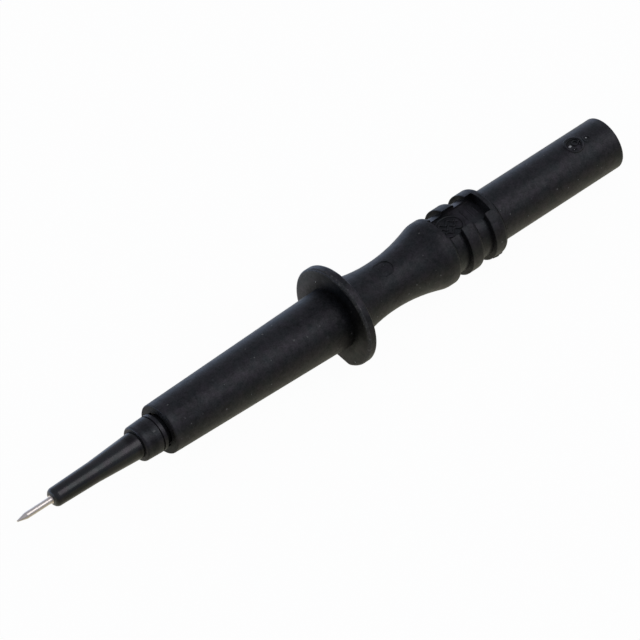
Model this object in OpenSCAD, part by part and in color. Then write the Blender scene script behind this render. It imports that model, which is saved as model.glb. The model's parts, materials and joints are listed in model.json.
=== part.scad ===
// Hand-held test probe: a steel needle at the front, a moulded grip with a
// finger guard, and a shrouded socket for a 4 mm plug at the rear.
// Each piece is drawn along +Z with the needle's point at 0, and is then laid
// down on the guard's flat and the rear rim, as the probe rests on a bench.

/* [Needle] */
// Diameter of the steel needle
needle_d = 1.3; // [0.8:0.05:1.6]
// Length of the needle's conical point
point_l = 2.1; // [1:0.1:4]
// Diameter of the blunt end of the point
point_d = 0.3; // [0.1:0.05:0.5]
// Length of needle in front of the nose sleeve, point included
needle_out = 8.2; // [6:0.1:15]
// Diameter of the needle's root, inside the nose sleeve
root_d = 1.65; // [1.4:0.05:1.8]
// Length of root that shows in front of the nose sleeve
root_out = 0.15; // [0.1:0.05:0.4]
// Length of root between the sleeve's front and the contact rod
root_l = 5; // [2:0.5:8]
// Length of root pressed into the contact rod
root_grip = 9; // [5:0.5:12]

/* [Nose sleeve] */
// Diameter of the sleeve behind its rounded front edge
nose_d = 3.84; // [3.4:0.02:4.2]
// Diameter of the sleeve where its cone begins
nose_mid_d = 4.25; // [4.2:0.05:4.5]
// Diameter of the sleeve's base, which shares one bore with the contact rod's heads
nose_base_d = 5.5; // [4.6:0.05:5.6]
// Length of the nearly straight front
nose_straight_l = 10.2; // [8:0.2:16]
// Length of the cone
nose_cone_l = 10.2; // [6:0.2:16]
// Radius of the rounded front edge
nose_round_r = 1; // [0.4:0.05:1.05]
// Length of the sleeve inside the collar
nose_seat_l = 8; // [4:0.5:14]

/* [Collar] */
// Diameter of the collar's front end
collar_front_d = 7.3; // [6.6:0.05:7.6]
// Diameter of the collar's rear end
collar_d = 7.6; // [7.4:0.05:9]
// Length of the collar, which widens slightly towards the rear
collar_l = 3.8; // [2:0.05:8]
// Rounding of the collar's front edge
collar_round_r = 0.5; // [0.1:0.05:0.7]
// Width of the thin groove round the collar
collar_groove_w = 0.35; // [0.2:0.05:0.8]
// Depth of the thin groove
collar_groove_h = 0.25; // [0.1:0.05:0.5]
// Length of the short ring behind the thin groove
collar_ring_l = 0.75; // [0.4:0.05:3]
// Length of the neck between that ring and the handle
neck_l = 0.9; // [0.4:0.05:3]
// Depth of the neck below the short ring
neck_h = 0.7; // [0.3:0.05:0.9]
// How far the neck goes on into the handle
neck_hidden_l = 0.8; // [0.3:0.1:3]
// Diameter of the collar's tube inside the handle, and of the socket sleeve
tube_d = 7.2; // [6.8:0.05:7.6]
// Length of the collar's tube inside the handle
tube_l = 20; // [14:0.5:40]

/* [Contact] */
// Bore of the socket
socket_d = 4; // [3.6:0.05:4.2]
// Depth of the socket's bore
socket_depth = 24; // [18:0.5:30]
// Length of the solid part of the rear head, in front of the bore
head_wall = 3; // [1:0.5:8]
// Length of the front head
front_head_l = 6; // [3:0.5:12]
// Diameter of the shank between the heads
shank_d = 3.2; // [2:0.1:4.5]
// Diameter of the front pin that holds the needle
holder_d = 2.8; // [2:0.1:3]
// Countersink at the socket's mouth
socket_chamfer = 0.3; // [0.1:0.05:0.5]

/* [Shrouded end] */
// Outer diameter of the post round the socket
post_d = 6.4; // [6.2:0.05:6.8]
// Hole through the lip at the post's end
lip_d = 4.5; // [4.3:0.05:5]
// Thickness of that lip
lip_t = 1.5; // [0.8:0.1:3]
// How far the post's end lies inside the handle's rear rim
post_recess = 0.8; // [0:0.1:3]
// Bore of the shroud round the post
shroud_bore_d = 8.6; // [8.2:0.05:9.2]
// Depth of the ring-shaped recess between shroud and post
shroud_depth = 23; // [16:0.5:28]
// Length of the socket sleeve in front of that recess
sleeve_seat_l = 9; // [4:0.5:20]

/* [Handle] */
// Diameter of the handle at its front face
grip_front_d = 10.4; // [9.5:0.1:13]
// Diameter of the handle at the guard
grip_rear_d = 12.6; // [11:0.1:14]
// Length from the front face to the guard
grip_l = 43.4; // [30:0.2:60]
// Rounding of the front edge
grip_round_r = 0.3; // [0.1:0.05:0.8]
// Diameter of the finger guard
guard_d = 20.9; // [18:0.1:26]
// Thickness of the finger guard
guard_t = 2; // [1.4:0.1:3]
// Rounding of the guard's rim
guard_round_r = 0.5; // [0.2:0.05:0.65]
// Distance from the probe's axis to the flat under the guard, which it lies on
guard_flat = 8.6; // [7.8:0.1:8.8]
// Smallest diameter of the waist
waist_d = 10.25; // [9.6:0.05:12]
// Distance from the guard's back to the narrowest point of the waist
waist_back = 10.55; // [8:0.05:14]
// Radius of the waist's curve in front of its narrowest point
waist_front_r = 34; // [24:0.5:60]
// Radius of the waist's curve behind its narrowest point
waist_rear_r = 37.5; // [26:0.5:60]

/* [Bands] */
// Diameter of the body and of the bands behind it
body_d = 14.1; // [13:0.1:15]
// Distance from the waist's narrowest point to the body's rear edge
body_back = 13.8; // [13.6:0.1:18]
// Radius of the crest where the waist's curve runs into the body
crest_r = 5; // [2:0.5:8]
// Number of bands behind the body
band_count = 2; // [1:1:4]
// Length of a band, without its rounded shoulder
band_l = 2.3; // [1.6:0.05:4]
// Distance from one band's rear edge to the next band's front wall
band_gap = 3.75; // [2.5:0.05:6]
// Radius of the rounded shoulders
shoulder_r = 1; // [0.4:0.05:1.05]
// Diameter of the grooves between the bands
groove_d = 12; // [11.6:0.1:12.4]
// Chamfer on the bands' front edges and rounding of the post's end
edge_r = 0.1; // [0.05:0.01:0.2]

/* [Rear barrel] */
// Diameter of the rear barrel
barrel_d = 11; // [10.6:0.1:12]
// Length of the rear barrel
barrel_l = 31.9; // [26:0.1:50]
// Rounding of the rear rim
rim_round_r = 0.35; // [0.1:0.05:0.6]
// Chamfer inside the rear rim
rim_chamfer = 0.25; // [0.1:0.05:0.5]

/* [Label window] */
// Width of the window for the label
window_w = 5.6; // [3:0.1:8]
// Length of the window, from the body's rear edge
window_l = 11.4; // [6:0.1:11.6]
// Distance from the probe's axis to the window's floor
window_floor = 4.8; // [4.5:0.05:6]

/* [Mould marks] */
// Diameter of the round mark on the waist
mark_d = 4; // [2:0.1:5]
// Depth of that mark below the waist
mark_h = 0.35; // [0.05:0.05:0.5]
// Diameter of the small round hollow near the rear
hollow_d = 3; // [1:0.1:4]
// Depth of the hollow
hollow_h = 0.35; // [0.1:0.05:0.5]
// Distance from the rear rim to the hollow's middle
hollow_back = 8.8; // [6:0.1:24]

/* [Clearances] */
// Radial clearance of pieces that are pushed into each other
push_gap = 0.02; // [0.01:0.01:0.05]
// Radial clearance round the contact rod in the handle's middle
pass_gap = 0.15; // [0.05:0.05:0.5]

/* [Hidden] */
$fn = 120;
ARC_STEPS = 5;   // segments in the rounding of a tapered end
CUT = 1;         // how far a cutting shape reaches past a surface
SEAM_TURN = 2.5; // turns each round surface's starting line off the line it rests on

// Stations along the axis, from the needle's point
z_nose = needle_out;
z_cone = z_nose + nose_straight_l;
z_collar = z_cone + nose_cone_l;
z_groove = z_collar + collar_l;
z_ring = z_groove + collar_groove_w;
z_neck = z_ring + collar_ring_l;
z_handle = z_neck + neck_l;
z_tube = z_handle + neck_hidden_l;
z_tube_end = z_handle + tube_l;
z_guard = z_handle + grip_l;
z_guard_back = z_guard + guard_t;
z_waist = z_guard_back + waist_back;
z_body_end = z_waist + body_back;
z_bands = [for (i = [0:band_count - 1]) z_body_end + band_gap + i * (band_l + band_gap)];
z_barrel = z_bands[band_count - 1] + band_l + shoulder_r;
z_end = z_barrel + barrel_l;
z_shroud = z_end - shroud_depth;
z_post = z_end - post_recess;
z_socket = z_post - lip_t;
z_sleeve = z_shroud - sleeve_seat_l;
z_nose_rear = z_collar + nose_seat_l;
z_root = z_nose + root_l;
z_root_end = z_root + root_grip;

// Bores that follow from the pieces they take
head_bore_d = nose_base_d + 2 * push_gap;
pass_bore_d = nose_base_d + 2 * pass_gap;
tube_bore_d = tube_d + 2 * push_gap;
root_bore_d = root_d + 2 * push_gap;
holder_bore_d = holder_d + 2 * push_gap;

// How the probe lies: a line touches the rear edge of the guard's flat and the rear rim
flat_in_rim = max(0, guard_flat + guard_round_r - guard_d / 2);
z_flat = z_guard_back - guard_round_r + sqrt(pow(guard_round_r, 2) - pow(flat_in_rim, 2));
rear_touch = [barrel_d / 2 - rim_round_r, z_end - rim_round_r];
touch_run = rear_touch[1] - z_flat;
touch_drop = guard_flat - rear_touch[0];
rest_tilt = atan2(touch_drop, touch_run) - asin(rim_round_r / norm([touch_run, touch_drop]));
rest_height = z_flat * sin(rest_tilt) + guard_flat * cos(rest_tilt);
front_reach = point_d / 2 * sin(rest_tilt);
rear_reach = rear_touch[1] * cos(rest_tilt) + rear_touch[0] * sin(rest_tilt) + rim_round_r;

// Points on an arc round centre c, from angle a0 to angle a1
function arc(c, r, a0, a1, steps = ARC_STEPS) =
    [for (i = [0:steps]) let (a = a0 + (a1 - a0) * i / steps) c + r * [cos(a), sin(a)]];

// Lays a piece drawn along +Z on the floor, with its -X side upwards
module lay() {
    translate([(front_reach - rear_reach) / 2, 0, rest_height])
        rotate([0, 90 + rest_tilt, 0])
            children();
}

// Turns a profile of [radius, station] round the probe's axis
module turned() {
    rotate([0, 0, SEAM_TURN]) rotate_extrude() children();
}

// Straight round hole from station z0 to z1
module drilled(d, z0, z1) {
    translate([0, 0, z0]) cylinder(d = d, h = z1 - z0);
}

// What a rounding of radius r takes off a profile's outer corner, whose
// sides face the directions of side = [+1 or -1, +1 or -1]
module corner_off(corner, side, r) {
    difference() {
        translate(corner + (CUT - r) / 2 * side) square(r + CUT, center = true);
        translate(corner - r * side) circle(r = r);
    }
}

module needle() {
    color([0.78, 0.77, 0.74])
        lay()
            turned() polygon([
                [0, 0], [point_d / 2, 0], [needle_d / 2, point_l],
                [needle_d / 2, z_nose - root_out], [root_d / 2, z_nose - root_out],
                [root_d / 2, z_root_end], [0, z_root_end]]);
}

module nose_sleeve() {
    outline = concat(
        [[0, z_nose]],
        arc([nose_d / 2 - nose_round_r, z_nose + nose_round_r], nose_round_r, -90, 0),
        [
            [nose_mid_d / 2, z_cone],
            [nose_base_d / 2, z_collar],
            [nose_base_d / 2, z_nose_rear],
            [0, z_nose_rear]]);
    color([0.07, 0.07, 0.08])
        lay()
            difference() {
                turned() polygon(outline);
                drilled(root_bore_d, z_nose - CUT, z_root + CUT);
                drilled(holder_bore_d, z_root, z_nose_rear + CUT);
            }
}

module contact_rod() {
    z_bore = z_socket - socket_depth;
    z_rear_head = z_bore - head_wall;
    z_front_head_end = z_nose_rear + front_head_l;
    head_r = nose_base_d / 2;
    color([0.80, 0.74, 0.58])
        lay()
            difference() {
                turned() polygon([
                    [0, z_root], [holder_d / 2, z_root], [holder_d / 2, z_nose_rear],
                    [head_r, z_nose_rear], [head_r, z_front_head_end],
                    [shank_d / 2, z_front_head_end], [shank_d / 2, z_rear_head],
                    [head_r, z_rear_head], [head_r, z_socket], [0, z_socket]]);
                drilled(root_bore_d, z_root - CUT, z_root_end);
                drilled(socket_d, z_bore, z_socket + CUT);
                translate([0, 0, z_socket - socket_chamfer])
                    cylinder(d1 = socket_d, d2 = socket_d + 2 * socket_chamfer, h = socket_chamfer);
            }
}

module collar() {
    groove_r = collar_d / 2 - collar_groove_h;
    neck_r = collar_d / 2 - neck_h;
    front_c = [collar_front_d / 2 - collar_round_r, z_collar + collar_round_r];
    outline = concat(
        [[head_bore_d / 2, z_collar]],
        arc(front_c, collar_round_r, -90, 0),
        [
            [collar_d / 2, z_groove], [groove_r, z_groove], [groove_r, z_ring],
            [collar_d / 2, z_ring], [collar_d / 2, z_neck], [neck_r, z_neck],
            [neck_r, z_tube], [tube_d / 2, z_tube], [tube_d / 2, z_tube_end],
            [head_bore_d / 2, z_tube_end]]);
    color([0.10, 0.10, 0.11])
        lay()
            turned() polygon(outline);
}

module socket_sleeve() {
    color([0.10, 0.10, 0.11])
        lay()
            turned()
                difference() {
                    polygon([
                        [head_bore_d / 2, z_sleeve], [tube_d / 2, z_sleeve],
                        [tube_d / 2, z_shroud], [post_d / 2, z_shroud],
                        [post_d / 2, z_post], [lip_d / 2, z_post],
                        [lip_d / 2, z_socket], [head_bore_d / 2, z_socket]]);
                    corner_off([post_d / 2, z_post], [1, 1], edge_r);
                }
}

// Outline of the handle with sharp corners: grip, guard, a block for the waist
// and body, bands, barrel, and the stepped bore inside
function handle_outline() = concat(
    [[tube_bore_d / 2, z_handle]],
    arc([grip_front_d / 2 - grip_round_r, z_handle + grip_round_r], grip_round_r, -90, 0),
    [
        [grip_rear_d / 2, z_guard], [guard_d / 2, z_guard], [guard_d / 2, z_guard_back],
        [body_d / 2, z_guard_back], [body_d / 2, z_body_end + shoulder_r],
        [groove_d / 2, z_body_end + shoulder_r]],
    [for (i = [0:band_count - 1]) let (z = z_bands[i], z_step = z + band_l + shoulder_r)
        each [
            [groove_d / 2, z], [body_d / 2 - edge_r, z], [body_d / 2, z + edge_r],
            [body_d / 2, z_step],
            [(i < band_count - 1 ? groove_d : barrel_d) / 2, z_step]]],
    [
        [barrel_d / 2, z_end], [shroud_bore_d / 2 + rim_chamfer, z_end],
        [shroud_bore_d / 2, z_end - rim_chamfer], [shroud_bore_d / 2, z_shroud],
        [tube_bore_d / 2, z_shroud], [tube_bore_d / 2, z_sleeve],
        [pass_bore_d / 2, z_sleeve], [pass_bore_d / 2, z_tube_end],
        [tube_bore_d / 2, z_tube_end]]);

// The waist: two large arcs that meet at its narrowest point, and the crest that
// rounds off the rear arc's edge on the body
module waist_cut() {
    waist_c = [waist_d / 2 + waist_rear_r, z_waist];
    crest_x = body_d / 2 - crest_r;
    crest_run = sqrt(pow(waist_rear_r + crest_r, 2) - pow(waist_c[0] - crest_x, 2));
    crest_c = [crest_x, z_waist + crest_run];
    touch = waist_c + (crest_c - waist_c) * waist_rear_r / (waist_rear_r + crest_r);
    difference() {
        polygon([touch, [touch[0] + body_d, touch[1]], [touch[0] + body_d, crest_c[1]], crest_c]);
        translate(crest_c) circle(r = crest_r);
    }
    intersection() {
        translate([waist_d / 2 + waist_front_r, z_waist]) circle(r = waist_front_r);
        translate([0, z_guard_back]) square([guard_d, waist_back]);
    }
    intersection() {
        translate([waist_d / 2 + waist_rear_r, z_waist]) circle(r = waist_rear_r);
        translate([0, z_waist]) square([guard_d, body_back]);
    }
}

module handle_profile() {
    body_r = body_d / 2;
    difference() {
        polygon(handle_outline());
        waist_cut();
        corner_off([guard_d / 2, z_guard], [1, -1], guard_round_r);
        corner_off([guard_d / 2, z_guard_back], [1, 1], guard_round_r);
        corner_off([body_r, z_body_end + shoulder_r], [1, 1], shoulder_r);
        for (z = z_bands)
            corner_off([body_r, z + band_l + shoulder_r], [1, 1], shoulder_r);
        corner_off([barrel_d / 2, z_end], [1, 1], rim_round_r);
    }
}

// Cuts the flat under the guard, opposite the label's window
module flat_cut() {
    translate([guard_flat, -guard_d / 2, z_guard - CUT])
        cube([guard_d / 2, guard_d, guard_t + 2 * CUT]);
}

// Cuts the window for the label, on the side that lies upwards
module window_cut() {
    translate([-body_d / 2 - CUT, -window_w / 2, z_body_end])
        cube([body_d / 2 + CUT - window_floor, window_w, window_l]);
}

// Flat round mark of an ejector pin in the waist
module mark_cut() {
    translate([-waist_d / 2 + mark_h, 0, z_waist])
        rotate([0, -90, 0])
            cylinder(d = mark_d, h = mark_d);
}

// Small round hollow in the barrel, in line with the window
module hollow_cut() {
    translate([hollow_h - barrel_d / 2, 0, z_end - hollow_back])
        rotate([0, -90, 0])
            cylinder(d = hollow_d, h = hollow_d);
}

module handle() {
    color([0.13, 0.13, 0.14])
        lay()
            difference() {
                turned() handle_profile();
                flat_cut();
                window_cut();
                mark_cut();
                hollow_cut();
            }
}

needle();
nose_sleeve();
contact_rod();
collar();
socket_sleeve();
handle();
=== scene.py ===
import json
import math
import random

import bpy
from mathutils import Matrix, Vector


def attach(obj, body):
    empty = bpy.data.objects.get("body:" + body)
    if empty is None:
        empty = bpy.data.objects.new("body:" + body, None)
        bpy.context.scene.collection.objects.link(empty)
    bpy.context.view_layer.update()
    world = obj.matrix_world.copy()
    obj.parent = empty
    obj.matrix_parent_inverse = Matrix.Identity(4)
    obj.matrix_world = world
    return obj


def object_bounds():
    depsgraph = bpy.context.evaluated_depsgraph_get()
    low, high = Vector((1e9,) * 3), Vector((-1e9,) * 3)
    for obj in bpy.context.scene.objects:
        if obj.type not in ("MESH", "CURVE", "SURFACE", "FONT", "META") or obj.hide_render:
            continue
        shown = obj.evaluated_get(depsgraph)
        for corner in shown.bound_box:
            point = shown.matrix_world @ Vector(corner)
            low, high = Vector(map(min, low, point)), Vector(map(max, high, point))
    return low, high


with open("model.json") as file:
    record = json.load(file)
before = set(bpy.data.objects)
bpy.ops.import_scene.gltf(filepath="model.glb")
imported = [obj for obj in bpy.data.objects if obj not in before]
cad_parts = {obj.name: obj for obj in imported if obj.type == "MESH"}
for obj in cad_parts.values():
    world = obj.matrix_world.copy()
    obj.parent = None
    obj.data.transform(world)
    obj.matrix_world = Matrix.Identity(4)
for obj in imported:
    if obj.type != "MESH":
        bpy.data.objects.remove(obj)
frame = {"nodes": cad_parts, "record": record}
cad_box = [list(v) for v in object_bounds()]
nodes = frame["nodes"]
scene = bpy.context.scene
scene.view_settings.view_transform = "Standard"

# Directions fixed to the probe. Its axis runs from the needle's point towards the socket, and dips
# a little because the probe lies on its guard and its rear end. UPPER_SIDE points across it, between
# the label and +Y. Lengths below are in millimetres, unless their name ends with _M.
MM = 0.001
SOCKET_MID_T = 134.7
mount = next(m for m in frame["record"]["mounts"] if m["name"] == "socket")
AXIS = Vector(mount["axis"]).normalized()
LABEL_UP = Vector((-AXIS.z, 0, AXIS.x))
SIDE = Vector((0, 1, 0))
UPPER_SIDE = (LABEL_UP * 0.5255 + SIDE * 0.8508).normalized()
ORIGIN = Vector(mount["pos_m"]) - AXIS * SOCKET_MID_T * MM

# Sizes of the solids: places along the axis, radii, and distances of floors from the axis
GRIP_T = 34.4
GUARD_T = 77.8
WAIST_T = 90.35
COLLAR_R = 3.77
GRIP_FRONT_R = 5.2
GRIP_REAR_R = 6.3
WAIST_R = 5.125
WAIST_ARC_R = 35.5
BODY_R = 7.05
BARREL_R = 5.5
WINDOW_FLOOR = 4.8
HOLLOW_FLOOR = 5.15


def at(t, up=0.0, side=0.0):
    """Point t along the axis from the needle's point, up towards the label, side towards +Y."""
    return ORIGIN + (AXIS * t + LABEL_UP * up + SIDE * side) * MM


def around(t, radius, turn):
    """Point at a radius from the axis, turned about it from the label."""
    return at(t, radius * math.cos(turn), radius * math.sin(turn))


# Camera: a long lens looking down at the probe
FOCAL_PX = 6000.0
FRAME_PX = 640
SENSOR = 36.0
DISTANCE_M = 1.1319
CLIP_END_M = 20
AIM_T = 75.41
AIM_LEFT = 0.570
AIM_UP = 0.762
RIGHT = (AXIS * 0.74127 - SIDE * 0.66913 + LABEL_UP * 0.05280).normalized()
FORWARD = (AXIS * 0.47152 + SIDE * 0.46313 - LABEL_UP * 0.75048).normalized()
UP = RIGHT.cross(FORWARD).normalized()


def make_camera():
    data = bpy.data.cameras.new("camera")
    data.sensor_width = SENSOR
    data.lens = FOCAL_PX / FRAME_PX * SENSOR
    data.clip_end = CLIP_END_M
    camera = bpy.data.objects.new("camera", data)
    scene.collection.objects.link(camera)
    place = at(AIM_T) - FORWARD * DISTANCE_M - RIGHT * AIM_LEFT * MM + UP * AIM_UP * MM
    turn = Matrix((RIGHT, UP, -FORWARD)).transposed()
    camera.matrix_world = Matrix.Translation(place) @ turn.to_4x4()
    scene.camera = camera


# Shader helpers
def new_material(name):
    """Material without nodes but its output."""
    material = bpy.data.materials.new(name)
    material.use_nodes = True
    tree = material.node_tree
    tree.nodes.clear()
    return material, tree, tree.nodes.new("ShaderNodeOutputMaterial")


def add(tree, kind, **values):
    """New node: a key with a capital sets that input, any other key sets a property."""
    node = tree.nodes.new(kind)
    for key, value in values.items():
        if key[0].isupper():
            node.inputs[key.replace("_", " ")].default_value = value
        else:
            setattr(node, key, value)
    return node


def link(tree, a, b):
    tree.links.new(a, b)


def math_node(tree, operation, *values):
    """Maths on numbers and sockets."""
    node = add(tree, "ShaderNodeMath", operation=operation)
    for entry, value in zip(node.inputs, values):
        if isinstance(value, (int, float)):
            entry.default_value = value
        else:
            link(tree, value, entry)
    return node.outputs[0]


def plus(tree, total, *others):
    for value in others:
        total = math_node(tree, "ADD", total, value)
    return total


def minus(tree, a, b):
    return math_node(tree, "SUBTRACT", a, b)


def times(tree, product, *others):
    for value in others:
        product = math_node(tree, "MULTIPLY", product, value)
    return product


def ratio(tree, a, b):
    return math_node(tree, "DIVIDE", a, b)


def clamp(tree, value):
    return math_node(tree, "MINIMUM", math_node(tree, "MAXIMUM", value, 0.0), 1.0)


def vector_node(tree, operation, a, b=None, output="Vector"):
    """Vector maths on a socket and, where it takes two, a fixed vector."""
    node = add(tree, "ShaderNodeVectorMath", operation=operation)
    link(tree, a, node.inputs[0])
    if b is not None:
        node.inputs[1].default_value = b
    return node.outputs[output]


def ramp(tree, value, stops):
    """Colour ramp through stops of a place and a grey level or a colour."""
    node = tree.nodes.new("ShaderNodeValToRGB")
    while len(node.color_ramp.elements) < len(stops):
        node.color_ramp.elements.new(0.5)
    for element, (place, level) in zip(node.color_ramp.elements, stops):
        element.position = place
        element.color = (level, level, level, 1) if isinstance(level, (int, float)) else (*level, 1)
    link(tree, value, node.inputs["Fac"])
    return node.outputs["Color"]


def noise(tree, where, scale, detail, roughness=0.55):
    node = add(tree, "ShaderNodeTexNoise", Scale=scale, Detail=detail, Roughness=roughness)
    link(tree, where, node.inputs["Vector"])
    return node.outputs["Fac"]


def map_range(tree, value, low, high, to_low, to_high):
    """Smooth change from to_low at low to to_high at high."""
    node = add(tree, "ShaderNodeMapRange", interpolation_type="SMOOTHSTEP",
               From_Min=low, From_Max=high, To_Min=to_low, To_Max=to_high)
    link(tree, value, node.inputs["Value"])
    return node.outputs["Result"]


def blend_colour(tree, factor, a, b):
    mix = add(tree, "ShaderNodeMix", data_type="RGBA")
    for entry, value in (("Factor", factor), ("A", a), ("B", b)):
        if isinstance(value, tuple):
            mix.inputs[entry].default_value = (*value, 1)
        else:
            link(tree, value, mix.inputs[entry])
    return mix.outputs["Result"]


def object_coordinates(tree):
    """Coordinates in millimetres, fixed to the object."""
    coordinates = tree.nodes.new("ShaderNodeTexCoord")
    scale = add(tree, "ShaderNodeVectorMath", operation="SCALE", Scale=1 / MM)
    link(tree, coordinates.outputs["Object"], scale.inputs[0])
    return scale.outputs[0]


def separate(tree, coordinates):
    """X, Y and Z of the texture coordinates of that name."""
    node = tree.nodes.new("ShaderNodeSeparateXYZ")
    link(tree, tree.nodes.new("ShaderNodeTexCoord").outputs[coordinates], node.inputs[0])
    return node.outputs


def specks(tree, where, scale, size, power, soft):
    """Sparse round specks: one in each cell, most of them too small to see."""
    cells = add(tree, "ShaderNodeTexVoronoi", Scale=scale, Randomness=1.0)
    link(tree, where, cells.inputs["Vector"])
    chance = add(tree, "ShaderNodeTexWhiteNoise", noise_dimensions="3D")
    link(tree, cells.outputs["Position"], chance.inputs["Vector"])
    radius = times(tree, math_node(tree, "POWER", chance.outputs["Value"], power), size)
    return clamp(tree, ratio(tree, minus(tree, radius, cells.outputs["Distance"]), soft))


# Zones: soft masks for places on the probe. A limit is a direction with its low and high end, or OVER or
# UNDER with a distance from the axis. Its last number is how soft the edge is.
OVER = "over"
UNDER = "under"


def along(tree, where, axis, low, high, soft):
    """1 where the place along a direction lies between low and high."""
    place = vector_node(tree, "DOT_PRODUCT", where, axis, "Value")
    start = ORIGIN.dot(axis) / MM
    rise = ratio(tree, minus(tree, place, start + low), soft)
    fall = ratio(tree, minus(tree, start + high, place), soft)
    return clamp(tree, math_node(tree, "MINIMUM", rise, fall))


def outside(tree, where, radius, soft):
    """1 where the distance from the probe's axis is over radius."""
    from_point = vector_node(tree, "SUBTRACT", where, ORIGIN / MM)
    across = vector_node(tree, "CROSS_PRODUCT", from_point, AXIS)
    distance = vector_node(tree, "LENGTH", across, output="Value")
    return clamp(tree, ratio(tree, minus(tree, distance, radius), soft))


def zone(tree, where, limits):
    """1 where all the limits hold."""
    inside = []
    for kind, *numbers in limits:
        if kind == OVER:
            inside.append(outside(tree, where, *numbers))
        elif kind == UNDER:
            inside.append(minus(tree, 1.0, outside(tree, where, *numbers)))
        else:
            inside.append(along(tree, where, kind, *numbers))
    return times(tree, *inside)


def sum_of_zones(tree, where, zones):
    """Sum of the zones, each times its share."""
    parts = [times(tree, zone(tree, where, limits), share) for share, *limits in zones.values()]
    return plus(tree, *parts)


def faces_front(tree):
    """1 on flat faces that look towards the needle's point."""
    normal = tree.nodes.new("ShaderNodeNewGeometry").outputs["True Normal"]
    facing = vector_node(tree, "DOT_PRODUCT", normal, -AXIS, "Value")
    return math_node(tree, "GREATER_THAN", facing, 0.9)


GRIP_FACE = (AXIS, 34.0, 35.0, 0.2)
GUARD_FACE = (AXIS, 77.6, 78.1, 0.1)
GUARD_RIM = ((AXIS, 77.6, 78.45, 0.2), (OVER, 9.7, 0.2))
WINDOW = ((AXIS, 100.0, 115.5, 0.1), (LABEL_UP, 4.0, 5.1, 0.05))
FAR_BANDS = ((AXIS, 104.2, 117.4, 0.3), (SIDE, 2.2, 6.4, 0.5))
LOWER_SIDE = (UPPER_SIDE, -12.0, -4.4, 0.8)
BODY_END = ((AXIS, 97.0, 125.0, 3.0), (AXIS, 90.0, 104.3, 0.2), (LABEL_UP, 3.0, 14.0, 2.0))
HOLLOW = ((AXIS, 138.0, 143.0, 0.3), (LABEL_UP, 5.1, 5.42, 0.04), (UNDER, 5.4, 0.06))

# How much less each place on the handle reflects, as a share, or more where the share is below 0. Mostly
# painted shade in the reflection strength, with painted highlights where the share is below 0.
HANDLE_PAINTED_LIGHT = {
    "bands": (0.1, (AXIS, 104.5, 117.0, 0.5)),
    # Painted light: lifts the shade of the window's walls on the rear of its floor
    "window_floor": (-0.32, *WINDOW, (AXIS, 109.0, 125.0, 3.0)),
    # Painted shadow of the guard on the rear end of the grip
    "grip_end": (0.43, (AXIS, 71.0, 95.0, 5.5), (AXIS, 50.0, 78.4, 0.1), (UNDER, 7.0, 1.0)),
    "far_bands": (0.3, *FAR_BANDS, (OVER, 6.2, 0.3)),
    "far_grooves": (-0.5, *FAR_BANDS, (UNDER, 6.2, 0.3)),
    # Painted shade over the body end's highlight beside the window
    "body_end": (0.1, *BODY_END),
    "body_end_far": (0.25, *BODY_END, (SIDE, 0.5, 12.0, 1.5)),
    # Painted light in the hollow, and painted shade on its far side
    "hollow": (-0.5, *HOLLOW),
    "hollow_far": (1.2, *HOLLOW, (UPPER_SIDE, 2.9, 7.0, 0.5)),
    # Painted highlight on the rear of the hollow's lip
    "hollow_lip_rear": (-0.9, (AXIS, 141.0, 143.2, 0.5), (OVER, 5.56, 0.05)),
    "rear_rim": (-0.4, (AXIS, 147.0, 152.0, 1.0), (UPPER_SIDE, 2.2, 9.0, 1.0)),
    "waist_front": (0.13, (AXIS, 79.0, 92.5, 3.0)),
    "grip_rear_patch": (0.2, (AXIS, 64.0, 75.0, 3.0), (UPPER_SIDE, 0.0, 4.0, 1.2)),
    "grip_front_patch": (0.2, (AXIS, 36.0, 43.0, 2.0), (UPPER_SIDE, -1.2, 2.4, 0.8)),
    "grip_edge": (-0.2, (AXIS, 34.2, 36.4, 0.7)),
    # Painted shade over a light line on the back of the rear band
    "rear_band_back": (0.7, (AXIS, 116.7, 117.35, 0.1)),
    # Painted reflections of the bright floor on the lower ends of the band shoulders
    "front_shoulder_low": (-0.7, (AXIS, 106.4, 107.95, 0.4), LOWER_SIDE),
    "rear_shoulder_low": (-0.7, (AXIS, 112.4, 114.0, 0.4), LOWER_SIDE),
}

# How much more the handle's faces that look forward reflect, as a share: painted reflections of the floor
# where the share is above 0, painted shade where it is below 0
HANDLE_FRONTS = {
    # Painted shade on the grip's front face, with a painted reflection across its middle
    "grip_face": (-0.25, GRIP_FACE),
    "grip_face_middle": (1.2, GRIP_FACE, (UPPER_SIDE, -1.8, 2.4, 0.8)),
    "guard_low": (0.3, GUARD_FACE, (LABEL_UP, -14.0, 0.5, 3.0)),
    # Painted shade on the guard's face beside the grip
    "guard_beside_grip": (-0.5, GUARD_FACE, (LABEL_UP, 0.0, 11.5, 2.0), (SIDE, -12.0, 6.5, 2.5)),
    "guard_far": (0.45, GUARD_FACE, (SIDE, 6.5, 13.0, 2.0)),
    "window_rear_wall": (0.7, (AXIS, 115.1, 116.0, 0.1), (SIDE, -4.0, 0.8, 1.2)),
    "far_band_walls": (-0.6, (AXIS, 103.5, 117.5, 0.5), (SIDE, 1.0, 12.0, 1.0)),
}

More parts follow.
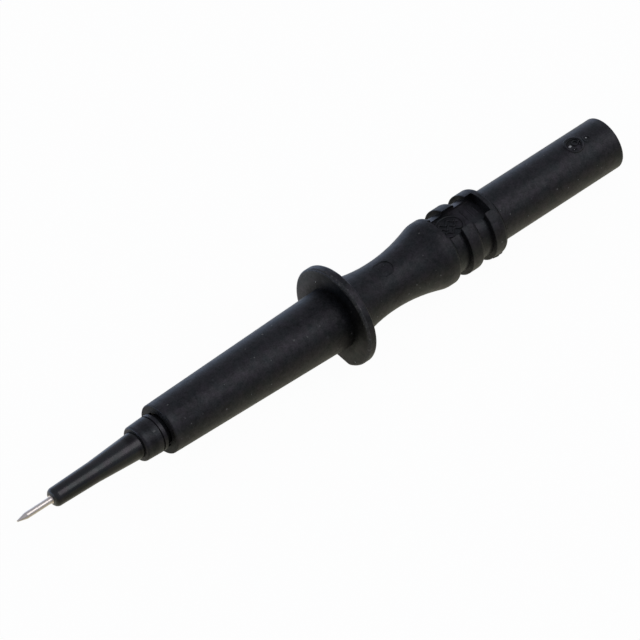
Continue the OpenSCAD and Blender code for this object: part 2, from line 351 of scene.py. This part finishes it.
# How much less the nose sleeve and the collar reflect, as a share: mostly painted shade, with a painted
# highlight at the nose's front where the share is below 0
NOSE_REAR_DIM = {
    # Painted shadow of the collar on the rear of the nose cone
    "cone_rear_upper": (0.5, (AXIS, 25.6, 28.62, 1.0), (UPPER_SIDE, 0.2, 4.0, 0.8)),
    "cone_rear_lower": (0.5, (AXIS, 27.0, 28.62, 0.8), (UPPER_SIDE, -6.0, -0.6, 0.5)),
}
NOSE_DIM = {
    "front": (-0.15, (AXIS, 6.9, 8.4, 0.5)),
    "straight": (0.12, (AXIS, 9.4, 18.0, 0.5)),
    **NOSE_REAR_DIM,
}
COLLAR_DIM = {
    "middle": (0.3, (AXIS, 29.6, 31.6, 0.5)),
    **NOSE_REAR_DIM,
}

# How much rougher a place on the handle is
HANDLE_ROUGH = {"rear_band_back": (0.25, (AXIS, 116.6, 117.5, 0.1))}


# Materials
def plastic_colour(tree, where, colour, dust, smudge):
    """Cloudy black with soft smudges, scuffs in patches and pale dust."""
    cloud = plus(tree, times(tree, noise(tree, where, scale=0.25, detail=4), 0.5),
                 times(tree, noise(tree, where, scale=1.6, detail=3), 0.5))
    darkest = tuple(v * 0.1 for v in colour)
    palest = tuple(v * 1.9 for v in colour)
    base = ramp(tree, cloud, [(0.36, darkest), (0.64, palest)])
    soft_marks = specks(tree, where, scale=0.2, size=0.3, power=3.0, soft=0.12)
    base = blend_colour(tree, times(tree, soft_marks, smudge), base, (0.05, 0.05, 0.05))
    patches = ramp(tree, noise(tree, where, scale=2.5, detail=3), [(0.4, 0.1), (0.6, 1.0)])
    scuffs = times(tree, specks(tree, where, scale=0.45, size=0.28, power=4.0, soft=0.16), patches)
    base = blend_colour(tree, times(tree, scuffs, smudge), base, (0.06, 0.06, 0.06))
    grains = specks(tree, where, scale=0.85, size=dust, power=5.0, soft=0.05)
    return blend_colour(tree, times(tree, grains, 0.55), base, (0.17, 0.165, 0.16))


def rim_highlight_and_dust(tree, where, base, limits):
    """Colour with a paler rim inside the limits: painted highlight in patches along the guard rim's edge,
    and pale dust.
    """
    rim = zone(tree, where, limits)
    highlight_patches = times(tree, rim, ramp(tree, noise(tree, where, scale=3.0, detail=2), [(0.4, 0.3), (0.6, 1.0)]))
    base = blend_colour(tree, times(tree, highlight_patches, 0.7), base, (0.06, 0.06, 0.056))
    dust = times(tree, rim, specks(tree, where, scale=1.5, size=0.5, power=2.0, soft=0.12))
    return blend_colour(tree, times(tree, dust, 0.6), base, (0.11, 0.108, 0.1))


def plastic_shine(tree, where, specular, mottle, painted_light, fronts, dim):
    """Uneven reflection, with zones of painted shade and painted highlights that reflect less or more."""
    worn = plus(tree, times(tree, noise(tree, where, scale=0.9, detail=5, roughness=0.7), 0.6),
                times(tree, noise(tree, where, scale=3.2, detail=2, roughness=0.6), 0.4))
    shine = ramp(tree, worn, [(0.36, specular * (1 - mottle)), (0.64, specular * (1 + mottle))])
    if painted_light:
        shine = minus(tree, shine, times(tree, sum_of_zones(tree, where, painted_light), specular))
    if fronts:
        gain = times(tree, sum_of_zones(tree, where, fronts), faces_front(tree))
        shine = times(tree, shine, plus(tree, gain, 1.0))
    if dim:
        shine = times(tree, shine, minus(tree, 1.0, sum_of_zones(tree, where, dim)))
    return shine


def plastic_tint(tree, where, blue):
    """Tint of the reflections, from greenish to purplish."""
    greenish = (0.92, 0.99, 0.99 + blue)
    between = (0.98, 0.96, 0.97 + blue)
    purplish = (1.04, 0.95, 1.02 + blue)
    hue = noise(tree, where, scale=0.45, detail=3)
    return ramp(tree, hue, [(0.35, greenish), (0.5, between), (0.65, purplish)])


def plastic(name, colour, roughness, grain, dust, smudge=0.45, specular=0.5, mottle=0.3, blue=0.08,
            front=0.0, rim=(), painted_light=None, fronts=None, dim=None, rough=None):
    """Moulded black plastic: cloudy colour and gloss, moulding grain, pale dust and soft smudges, and zones
    of painted shade and painted highlights in its reflection strength.
    """
    material, tree, out = new_material(name)
    shader = tree.nodes.new("ShaderNodeBsdfPrincipled")
    link(tree, shader.outputs[0], out.inputs["Surface"])
    where = object_coordinates(tree)
    base = plastic_colour(tree, where, colour, dust, smudge)
    if rim:
        base = rim_highlight_and_dust(tree, where, base, rim)
    link(tree, base, shader.inputs["Base Color"])
    shine = plastic_shine(tree, where, specular, mottle, painted_light, fronts, dim)
    link(tree, shine, shader.inputs["Specular IOR Level"])
    link(tree, plastic_tint(tree, where, blue), shader.inputs["Specular Tint"])

    fine = noise(tree, where, scale=4.0, detail=3)
    broad = noise(tree, where, scale=0.8, detail=2)
    both = plus(tree, times(tree, fine, 0.5), times(tree, broad, 0.5))
    matt = ramp(tree, both, [(0.35, roughness - 0.05), (0.65, roughness + 0.05)])
    if front:
        matt = plus(tree, matt, times(tree, faces_front(tree), front))
    if rough:
        matt = plus(tree, matt, sum_of_zones(tree, where, rough))
    link(tree, matt, shader.inputs["Roughness"])
    bump = add(tree, "ShaderNodeBump", Strength=grain, Distance=0.00002)
    link(tree, fine, bump.inputs["Height"])
    link(tree, bump.outputs[0], shader.inputs["Normal"])
    return material


def metal(name, colour, roughness):
    """Bare metal with faint clouds."""
    material, tree, out = new_material(name)
    shader = add(tree, "ShaderNodeBsdfPrincipled", Metallic=1.0)
    link(tree, shader.outputs[0], out.inputs["Surface"])
    cloud = noise(tree, object_coordinates(tree), scale=1.2, detail=4)
    darker = tuple(v * 0.9 for v in colour)
    link(tree, ramp(tree, cloud, [(0.3, darker), (0.7, colour)]), shader.inputs["Base Color"])
    matt = ramp(tree, cloud, [(0.3, roughness - 0.04), (0.7, roughness + 0.05)])
    link(tree, matt, shader.inputs["Roughness"])
    return material


def dust_material(name, roughness, scale, darkest, palest):
    """Matt grey between two levels."""
    material, tree, out = new_material(name)
    shader = add(tree, "ShaderNodeBsdfPrincipled", Roughness=roughness)
    cloud = noise(tree, object_coordinates(tree), scale=scale, detail=2)
    link(tree, ramp(tree, cloud, [(0.3, darkest), (0.7, palest)]), shader.inputs["Base Color"])
    link(tree, shader.outputs[0], out.inputs["Surface"])
    return material


materials = {
    "handle": plastic("grip_plastic", (0.0034, 0.0034, 0.0038), roughness=0.48, grain=0.6, dust=0.2,
                      front=0.1, rim=GUARD_RIM, painted_light=HANDLE_PAINTED_LIGHT, fronts=HANDLE_FRONTS, rough=HANDLE_ROUGH),
    "collar": plastic("collar_plastic", (0.0042, 0.0042, 0.0046), roughness=0.42, grain=0.5, dust=0.15,
                      specular=0.58, front=0.1, dim=COLLAR_DIM),
    "socket_sleeve": plastic("sleeve_plastic", (0.0045, 0.0045, 0.005), roughness=0.42, grain=0.3,
                             dust=0.0),
    "nose_sleeve": plastic("nose_plastic", (0.0008, 0.0008, 0.001), roughness=0.29, grain=0.1, dust=0.06,
                           smudge=0.1, specular=0.77, mottle=0.1, blue=0.02, dim=NOSE_DIM),
    "needle": metal("needle_steel", (1.0, 0.91, 0.85), roughness=0.33),
    "contact_rod": metal("contact_metal", (0.72, 0.69, 0.62), roughness=0.3),
}
for name, material in materials.items():
    slots = nodes[name].data.materials
    slots.clear()
    slots.append(material)
pale = dust_material("pale_dust", roughness=0.5, scale=6.0, darkest=0.35, palest=0.6)
grey = dust_material("grey_dust", roughness=0.6, scale=8.0, darkest=0.08, palest=0.16)


# Small pieces: moulded details, specks and flash. A path's points are (t, side), in millimetres
# along the axis and towards +Y.
def piece(name, vertices, faces, material):
    mesh = bpy.data.meshes.new(name)
    mesh.from_pydata(vertices, [], faces)
    mesh.polygons.foreach_set("use_smooth", [True] * len(mesh.polygons))
    mesh.materials.append(material)
    obj = bpy.data.objects.new(name, mesh)
    scene.collection.objects.link(obj)
    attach(obj, "root")


def ridges(name, paths, width, height, ground):
    """Raised strokes of rounded section that follow paths over the surface ground(side)."""
    section = [(-0.5, -0.5), (-0.42, 0.6), (-0.2, 1.0), (0.2, 1.0), (0.42, 0.6), (0.5, -0.5)]
    vertices, faces = [], []
    for path, closed in paths:
        first, count, n = len(vertices), len(path), len(section)
        for i, (t, side) in enumerate(path):
            a = path[(i - 1) % count] if closed or i > 0 else path[i]
            b = path[(i + 1) % count] if closed or i < count - 1 else path[i]
            run = math.hypot(b[0] - a[0], b[1] - a[1])
            across = (-(b[1] - a[1]) / run, (b[0] - a[0]) / run)
            end = not closed and i in (0, count - 1)
            for c, h in section:
                low = min(h, -0.5) if end else h
                place = (t + across[0] * c * width, side + across[1] * c * width)
                vertices.append(at(place[0], ground(place[1]) + low * height, place[1]))
        for i in range(count if closed else count - 1):
            for j in range(n - 1):
                p, q = first + i * n + j, first + (i + 1) % count * n + j
                faces.append((p, q, q + 1, p + 1))
    piece(name, vertices, faces, materials["handle"])


def oval(t, side, a, b, count=40):
    turns = [2 * math.pi * i / count for i in range(count)]
    return [(t + a * math.cos(v), side + b * math.sin(v)) for v in turns], True


def wave(t0, t1, side, swing, waves, count=36):
    steps = [i / count for i in range(count + 1)]
    return [(t0 + (t1 - t0) * v, side + swing * math.sin(2 * math.pi * waves * v)) for v in steps], False


def bar(t0, side0, t1, side1, count=6):
    steps = [i / count for i in range(count + 1)]
    return [(t0 + (t1 - t0) * v, side0 + (side1 - side0) * v) for v in steps], False


def window_ground(side):
    return WINDOW_FLOOR


def hollow_ground(side):
    return HOLLOW_FLOOR


def barrel_ground(side):
    return math.sqrt(BARREL_R ** 2 - side ** 2)


def label_relief():
    """Raised oval, waves and bars on the floor of the label window."""
    ridges("label_ring", [oval(107.6, 0.0, 3.0, 2.45)], width=0.6, height=0.22, ground=window_ground)
    waves = [wave(105.6, 109.6, 1.05, 0.4, 2.0), wave(105.3, 109.9, 0.0, 0.4, 2.5),
             wave(105.7, 109.5, -1.15, 0.35, 2)]
    ridges("label_waves", waves, width=0.5, height=0.2, ground=window_ground)
    bars = [bar(111.7, -1.6, 111.9, 2.1), bar(113.0, -1.5, 113.2, 1.9), bar(114.3, -0.9, 114.4, 1.4)]
    ridges("label_bars", bars, width=0.5, height=0.14, ground=window_ground)


def barrel_relief():
    """Lip and figure of the hollow on the rear barrel, and the small ring beside it."""
    ridges("hollow_lip", [oval(140.4, 0.12, 1.9, 1.9)], width=0.45, height=0.22, ground=barrel_ground)
    figure = [oval(140.9, 0.35, 0.6, 0.55, 20), bar(139.3, -0.6, 140.5, -1.0), bar(141.5, -0.7, 141.7, 0.7)]
    ridges("hollow_figure", figure, width=0.32, height=0.28, ground=hollow_ground)
    ridges("dot_ring", [oval(143.35, -0.4, 0.7, 0.7, 24)], width=0.3, height=0.14, ground=barrel_ground)


def mark_floor():
    """Floor of the round mark: it follows the waist a little below its surface."""
    rings = (0.5, 1.0, 1.4, 1.7, 1.9, 1.99)
    sides = 48
    depth = 0.13
    vertices = [at(WAIST_T, WAIST_R - depth)]
    for r in rings:
        for i in range(sides):
            v = 2 * math.pi * i / sides
            run, side = r * math.cos(v), r * math.sin(v)
            up = math.sqrt((WAIST_R + run * run / (2 * WAIST_ARC_R)) ** 2 - side * side) - depth
            vertices.append(at(WAIST_T + run, up, side))
    faces = [(0, 1 + i, 1 + (i + 1) % sides) for i in range(sides)]
    for k in range(len(rings) - 1):
        for i in range(sides):
            p, q = 1 + k * sides + i, 1 + k * sides + (i + 1) % sides
            faces.append((p, p + sides, q + sides, q))
    piece("mark_floor", vertices, faces, materials["handle"])


def lump(name, centre, radii, material, seed, rough=0.15, turn=0.0):
    """A small uneven rounded lump; radii lie along the axis, outwards and round the probe."""
    rng = random.Random(seed)
    out = LABEL_UP * math.cos(turn) + SIDE * math.sin(turn)
    round_about = AXIS.cross(out)
    rings, sides = 7, 12
    vertices, faces = [], []
    for i in range(rings + 1):
        v = math.pi * i / rings
        for j in range(sides):
            w = 2 * math.pi * j / sides
            k = 1 + rough * (rng.random() - 0.5) * 2
            p = AXIS * radii[0] * math.sin(v) * math.cos(w)
            p += round_about * radii[2] * math.sin(v) * math.sin(w)
            vertices.append(centre + (p * k + out * radii[1] * math.cos(v) * k) * MM)
    for i in range(rings):
        for j in range(sides):
            a, b = i * sides + j, i * sides + (j + 1) % sides
            faces.append((a, a + sides, b + sides, b))
    piece(name, vertices, faces, material)


def pale_specks():
    """Pale specks in the hollow, in the small ring and on the guard."""
    lump("hollow_speck_a", at(139.55, HOLLOW_FLOOR + 0.05, 0.2), (0.38, 0.16, 0.24), pale, seed=1)
    lump("hollow_speck_b", at(141.7, HOLLOW_FLOOR + 0.1, 0.25), (0.2, 0.12, 0.16), pale, seed=2)
    lump("hollow_speck_c", at(139.75, HOLLOW_FLOOR + 0.05, -0.8), (0.2, 0.12, 0.15), pale, seed=3)
    lump("dot_centre", at(143.4, 5.49, -0.15), (0.17, 0.07, 0.17), pale, seed=4, turn=-0.07)
    lump("guard_speck", at(77.82, -6.56, -6.96), (0.06, 0.13, 0.15), pale, seed=5)
    lump("guard_speck_b", at(77.8, 5.75, 5.2), (0.05, 0.22, 0.07), pale, seed=6)


def surface_radius(t):
    """Radius of the collar, the tapered grip or the barrel."""
    if t < GRIP_T:
        return COLLAR_R
    if t < GUARD_T:
        return GRIP_FRONT_R + (GRIP_REAR_R - GRIP_FRONT_R) * (t - GRIP_T) / (GUARD_T - GRIP_T)
    return BARREL_R


def grey_dust():
    """Grey dust and scuffs: place along the axis, turn from the label, length and width."""
    places = [
        (36.5, 0.06, 0.2, 0.14), (37.6, -0.7, 0.12, 0.14), (38.3, -0.99, 0.14, 0.12),
        (48.1, -0.46, 0.1, 0.16), (52.4, -1.28, 0.12, 0.12), (58.9, -0.63, 0.14, 0.1),
        (65.2, -0.49, 0.3, 0.17), (67.9, -0.62, 0.12, 0.24), (74.1, -1.85, 0.16, 0.14),
        (118.1, -0.57, 0.16, 0.15), (119.7, -0.87, 0.15, 0.17), (123.6, -1.33, 0.12, 0.13),
        (137.0, -1.19, 0.13, 0.11), (31.5, -0.48, 0.4, 0.2)]
    for i, (t, turn, length, width) in enumerate(places):
        centre = around(t, surface_radius(t), turn)
        lump("dust_%d" % (i + 1), centre, (length, 0.06, width), grey, seed=40 + i, rough=0.12, turn=turn)


def flash():
    """Bits of flash where the body's parting line crosses the rear band."""
    parting = -math.radians(121.7)
    black = materials["handle"]
    for i, (t, length, height) in enumerate([(114.7, 0.5, 0.16), (115.4, 0.6, 0.24), (116.2, 0.45, 0.17)]):
        centre = around(t, BODY_R - 0.02, parting)
        radii = (length, height, 0.4)
        lump("flash_%d" % (i + 1), centre, radii, black, seed=10 + i, rough=0.2, turn=parting)


# Floor, sky and lamp. Their places are in metres.
CAMERA_GLOW = 1.02
CAMERA_GLOW_SHARE = 0.95
FLOOR_HALF_M = 2.0


def reflected_level(tree, x, y):
    """How bright the floor looks in reflections: dimmer near the probe, with the shadow of the probe and
    its guard painted into the floor's glow, and a painted brighter strip close along it.
    """
    level = map_range(tree, y, -0.010, 0.030, 0.5, 0.92)
    from_guard_x = ratio(tree, minus(tree, x, at(GUARD_T).x - 0.012), 0.010)
    from_guard_y = ratio(tree, minus(tree, y, 0.007), 0.012)
    squares = plus(tree, times(tree, from_guard_x, from_guard_x), times(tree, from_guard_y, from_guard_y))
    guard_shade = map_range(tree, math_node(tree, "SQRT", squares), 0.4, 1.4, 0.85, 1.0)
    # Painted shade on the floor's glow in front of the nose
    near_nose = times(tree, map_range(tree, x, -0.044, -0.020, 1.0, 0.0),
                      map_range(tree, y, -0.004, 0.012, 1.0, 0.0))
    level = times(tree, level, guard_shade, minus(tree, 1.0, times(tree, near_nose, 0.3)))
    beside_guard = math_node(tree, "MAXIMUM", map_range(tree, x, -0.022, -0.008, 1.0, 0.35),
                             map_range(tree, x, 0.012, 0.024, 0.35, 0.9))
    strip = times(tree, map_range(tree, y, -0.018, -0.008, 0.0, 1.0),
                  map_range(tree, y, 0.002, 0.012, 1.0, 0.0), beside_guard)
    nearest = map_range(tree, y, -0.045, -0.016, 0.8, 1.0)
    return times(tree, level, plus(tree, nearest, times(tree, strip, 0.35)))


def reflected_tone(tree, y):
    """Colour of the floor in reflections: warm in front of the probe, bluish far behind it."""
    far = map_range(tree, y, -0.010, 0.030, 0.0, 1.0)
    tone = blend_colour(tree, far, (1.03, 1.0, 0.8), (1.0, 1.0, 1.0))
    farther = map_range(tree, y, 0.012, 0.045, 0.0, 1.0)
    return blend_colour(tree, farther, tone, (0.8, 1.0, 1.36))


def mix_shaders(tree, factor, a, b, surface):
    mix = tree.nodes.new("ShaderNodeMixShader")
    for value, entry in zip((factor, a.outputs[0], b.outputs[0]), mix.inputs):
        link(tree, value, entry)
    link(tree, mix.outputs[0], surface)


def floor_material():
    """Pale floor: nearly white to the camera, a soft gradient in reflections, grey to other rays."""
    material, tree, out = new_material("floor")
    rays = tree.nodes.new("ShaderNodeLightPath").outputs
    seen = math_node(tree, "MAXIMUM", rays["Is Glossy Ray"], rays["Is Transmission Ray"])
    to_camera = rays["Is Camera Ray"]
    x, y, _ = separate(tree, "Object")
    glow = tree.nodes.new("ShaderNodeEmission")
    tone = blend_colour(tree, to_camera, reflected_tone(tree, y), (1.0, 1.0, 1.0))
    link(tree, tone, glow.inputs["Color"])
    strength = math_node(tree, "MAXIMUM", reflected_level(tree, x, y), times(tree, to_camera, CAMERA_GLOW))
    link(tree, strength, glow.inputs["Strength"])
    diffuse = add(tree, "ShaderNodeBsdfDiffuse", Color=(0.8, 0.8, 0.8, 1))
    share = math_node(tree, "MAXIMUM", times(tree, to_camera, CAMERA_GLOW_SHARE), seen)
    mix_shaders(tree, share, diffuse, glow, out.inputs["Surface"])
    return material


def make_floor():
    half = FLOOR_HALF_M
    mesh = bpy.data.meshes.new("floor")
    corners = [(-half, -half, 0), (half, -half, 0), (half, half, 0), (-half, half, 0)]
    mesh.from_pydata(corners, [], [(0, 1, 2, 3)])
    mesh.materials.append(floor_material())
    floor = bpy.data.objects.new("floor", mesh)
    floor.location.z = cad_box[0][2]
    scene.collection.objects.link(floor)


def make_sky():
    """White to the camera, otherwise dim: brighter low on the far side, darker low on the near one."""
    world = bpy.data.worlds.new("world")
    scene.world = world
    world.use_nodes = True
    tree = world.node_tree
    tree.nodes.clear()
    out = tree.nodes.new("ShaderNodeOutputWorld")
    _, y, z = separate(tree, "Generated")
    far_low = times(tree, map_range(tree, y, 0.3, 0.9, 0.0, 1.0),
                    map_range(tree, z, 0.0, 0.6, 0.22, 0.0))
    near_low = times(tree, map_range(tree, y, -0.9, -0.3, 1.0, 0.0),
                     map_range(tree, z, 0.1, 0.55, 0.07, 0.0))
    dim = add(tree, "ShaderNodeBackground", Color=(0.94, 0.985, 1.11, 1))
    link(tree, minus(tree, plus(tree, far_low, 0.32), near_low), dim.inputs["Strength"])
    white = add(tree, "ShaderNodeBackground", Color=(1, 1, 1, 1), Strength=1.0)
    to_camera = tree.nodes.new("ShaderNodeLightPath").outputs["Is Camera Ray"]
    mix_shaders(tree, to_camera, dim, white, out.inputs["Surface"])


def softbox(name, direction, distance, size, power):
    lamp = bpy.data.lights.new(name, "AREA")
    lamp.shape = "RECTANGLE"
    lamp.size, lamp.size_y = size
    lamp.energy = power
    obj = bpy.data.objects.new(name, lamp)
    direction = Vector(direction).normalized()
    obj.location = direction * distance
    across = AXIS.cross(direction).normalized()
    obj.rotation_euler = Matrix((across.cross(direction), across, direction)).transposed().to_euler()
    scene.collection.objects.link(obj)


make_camera()
label_relief()
barrel_relief()
mark_floor()
pale_specks()
grey_dust()
flash()
make_floor()
make_sky()
softbox("key", direction=(0.47, -0.395, 0.755), distance=1.4, size=(0.6, 1.0), power=2.65)
